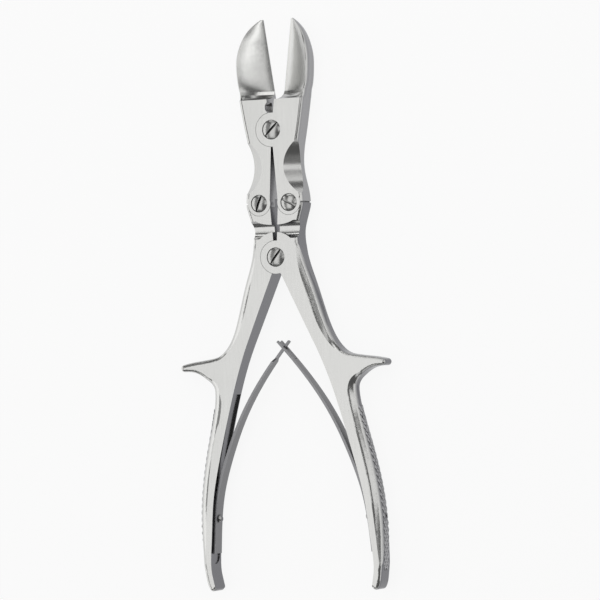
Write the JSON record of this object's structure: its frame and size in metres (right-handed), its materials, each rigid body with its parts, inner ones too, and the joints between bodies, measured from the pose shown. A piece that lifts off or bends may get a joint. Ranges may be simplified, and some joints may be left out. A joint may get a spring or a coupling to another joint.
{
  "type": "bone cutting forceps",
  "caption": "Long double-lever bone cutting forceps with hollowed straight blades, lap joints, finger rests and crossed leaf springs.",
  "frame": {"origin": "on the plane of the flat rear face, under the middle of the bounding box", "axes": "+Y along the forceps towards the blade tips, +Z out of the front face with the slotted screw heads, +X to the right"},
  "size_m": [0.1055, 0.2697, 0.0123],
  "materials": {
    "jaw_steel": "polished",
    "handle_steel": "polished",
    "screw_steel": "polished",
    "spring_steel": "satin"
  },
  "bodies": {
    "handle_left": {"handle_left": "handle_steel", "handle_screw": "screw_steel", "side_screw_left": "screw_steel", "spring_screw_left": "screw_steel"},
    "handle_right": {"handle_right": "handle_steel", "side_screw_right": "screw_steel", "spring_screw_right": "screw_steel"},
    "jaw_left": {"jaw_left": "jaw_steel", "jaw_screw": "screw_steel"},
    "jaw_right": {"jaw_right": "jaw_steel"},
    "leaf_left": {"spring_leaf_left": "spring_steel"},
    "leaf_right": {"spring_leaf_right": "spring_steel"}
  },
  "joints": [
    {"name": "squeeze", "type": "hinge", "parent": "handle_left", "child": "handle_right", "pos_m": [0, 0.0218, 0.00575], "axis": [0, 0, -1], "range_deg": [0, 21.2], "stiffness_Nm_per_rad": 3, "springref_deg": -5.73},
    {"name": "left_jaw_pivot", "type": "hinge", "parent": "handle_left", "child": "jaw_left", "pos_m": [-0.00765, 0.0473, 0.00575], "axis": [0, 0, -1], "range_deg": [-0.2, 18.8]},
    {"name": "jaw_pivot", "type": "hinge", "parent": "jaw_left", "child": "jaw_right", "pos_m": [0, 0.0818, 0.00575], "axis": [0, 0, 1], "range_deg": [-0.2, 15.9]},
    {"name": "left_leaf_bend", "type": "hinge", "parent": "handle_left", "child": "leaf_left", "pos_m": [-0.0372, -0.1008, 0.00575], "axis": [0, 0, 1], "range_deg": [-0.2, 5.6], "deforming": ["spring_leaf_left"]},
    {"name": "right_leaf_bend", "type": "hinge", "parent": "handle_right", "child": "leaf_right", "pos_m": [0.0418, -0.1008, 0.00575], "axis": [0, 0, -1], "range_deg": [-0.2, 5.6], "deforming": ["spring_leaf_right"]}
  ],
  "couplings": [
    {"joint": "left_jaw_pivot", "follows": "squeeze", "ratio": 0.86376},
    {"joint": "jaw_pivot", "follows": "squeeze", "ratio": 0.72752},
    {"joint": "left_leaf_bend", "follows": "squeeze", "ratio": 0.23952},
    {"joint": "right_leaf_bend", "follows": "squeeze", "ratio": 0.23952}
  ]
}
